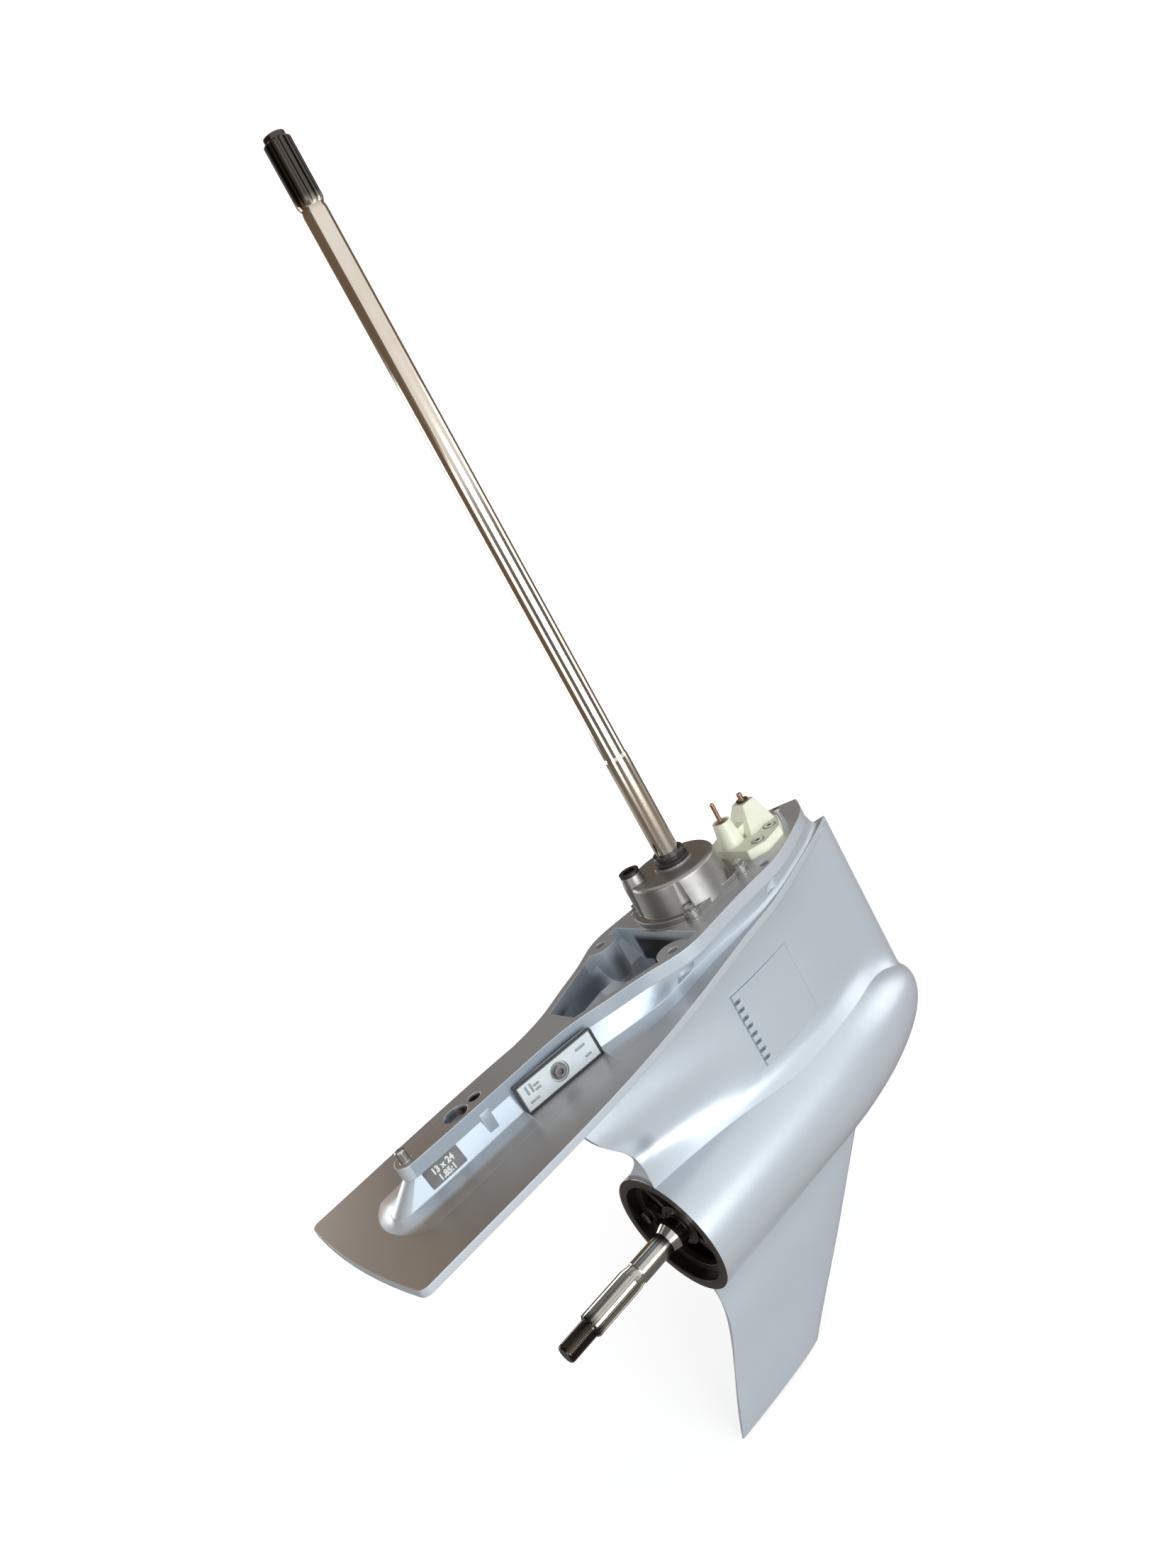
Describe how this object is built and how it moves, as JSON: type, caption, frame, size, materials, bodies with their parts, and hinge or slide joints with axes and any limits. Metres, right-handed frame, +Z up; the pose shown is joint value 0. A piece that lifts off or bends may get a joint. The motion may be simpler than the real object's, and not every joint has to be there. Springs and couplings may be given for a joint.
{
  "type": "outboard lower unit",
  "caption": "Outboard motor lower unit: gearcase with skeg and anti-ventilation plate, water pump, drive shaft, shift gear and splined propeller shaft.",
  "frame": {"origin": "where the drive shaft's axis crosses the deck, the face that bolts to the outboard's leg", "axes": "+X forwards, +Y to port, +Z up along the drive shaft"},
  "size_m": [0.5544, 0.1758, 1.0366],
  "materials": {
    "gearcase_paint": "metallic silver paint, semi-gloss",
    "cast_aluminium": "cast and sand-blasted",
    "shaft_steel": "ground",
    "gear_steel": "case-hardened, oiled",
    "bearing_steel": "polished",
    "stainless": "rolled stainless",
    "bronze": "turned",
    "coppered_steel": "drawn",
    "black_rubber": "moulded",
    "bracket_plastic": "moulded, slightly translucent",
    "anode_zinc": "cast, dull",
    "fibre": "pressed fibre"
  },
  "bodies": {
    "housing": {"gearcase_housing": "gearcase_paint", "bearing_carrier": "cast_aluminium", "carrier_bolts": "stainless", "carrier_o_ring": "black_rubber", "prop_shaft_seals": "black_rubber", "prop_shaft_needle_bearing": "bearing_steel", "forward_bearing_cup": "bearing_steel", "reverse_bearing_outer": "bearing_steel", "drive_bearing_cup": "bearing_steel", "drive_needle_bearing": "bearing_steel", "seal_housing_o_ring": "black_rubber", "drive_shaft_seals": "black_rubber", "shift_rod_bush": "bronze", "pump_base_plate": "stainless", "pump_gasket": "fibre", "pump_housing": "cast_aluminium", "pump_insert_cup": "stainless", "pump_bolts": "stainless", "pump_boot": "black_rubber", "outlet_seal": "black_rubber", "seal_housing": "cast_aluminium", "shift_bracket": "bracket_plastic", "bracket_screws": "stainless", "shift_rod_boot": "black_rubber", "hose_nipple": "coppered_steel", "front_dowel": "stainless", "rear_dowel": "stainless", "side_anode_port": "anode_zinc", "side_anode_starboard": "anode_zinc", "anode_bolt_port": "stainless", "anode_bolt_starboard": "stainless", "intake_cover_port": "gearcase_paint", "intake_cover_starboard": "gearcase_paint", "intake_cover_screw": "stainless", "oil_plugs": "stainless", "oil_plug_washers": "fibre", "nipple_seal": "black_rubber"},
    "drive_line": {"drive_shaft": "shaft_steel", "pinion_gear": "gear_steel", "pinion_nut": "gear_steel", "impeller": "black_rubber", "impeller_key": "stainless", "drive_bearing_cone": "bearing_steel"},
    "forward_gear_set": {"forward_gear": "gear_steel", "forward_gear_bush": "bronze", "forward_bearing_cone": "bearing_steel"},
    "reverse_gear_set": {"reverse_gear": "gear_steel", "reverse_gear_bush": "bronze", "reverse_bearing_inner": "bearing_steel"},
    "prop_line": {"prop_shaft": "shaft_steel"},
    "clutch": {"dog_clutch": "gear_steel", "clutch_pin": "gear_steel", "clutch_pin_ring": "bearing_steel", "shift_plunger": "gear_steel"},
    "slider": {"shift_slider": "gear_steel"},
    "shift_shaft": {"shift_rod": "coppered_steel", "shift_cam": "gear_steel"}
  },
  "joints": [
    {"name": "drive_spin", "type": "hinge", "parent": "housing", "child": "drive_line", "pos_m": [0, 0, 0], "axis": [0, 0, 1], "continuous": true},
    {"name": "forward_gear_spin", "type": "hinge", "parent": "housing", "child": "forward_gear_set", "pos_m": [0, 0, -0.208], "axis": [1, 0, 0], "continuous": true},
    {"name": "reverse_gear_spin", "type": "hinge", "parent": "housing", "child": "reverse_gear_set", "pos_m": [0, 0, -0.208], "axis": [1, 0, 0], "continuous": true},
    {"name": "prop_spin", "type": "hinge", "parent": "housing", "child": "prop_line", "pos_m": [0, 0, -0.208], "axis": [1, 0, 0], "continuous": true},
    {"name": "clutch_slide", "type": "slide", "parent": "prop_line", "child": "clutch", "axis": [1, 0, 0], "range_m": [-0.0042, 0.0042]},
    {"name": "slider_slide", "type": "slide", "parent": "housing", "child": "slider", "axis": [1, 0, 0], "range_m": [-0.004, 0.004]},
    {"name": "shift_turn", "type": "hinge", "parent": "housing", "child": "shift_shaft", "pos_m": [0.062, 0, 0], "axis": [0, 0, 1], "range_deg": [-31.5, 31.5]}
  ],
  "couplings": [
    {"joint": "forward_gear_spin", "follows": "drive_spin", "ratio": -0.54167},
    {"joint": "reverse_gear_spin", "follows": "drive_spin", "ratio": 0.54167},
    {"joint": "clutch_slide", "follows": "slider_slide", "ratio": 1},
    {"joint": "shift_turn", "follows": "slider_slide", "rad_per_m": -130.9}
  ]
}
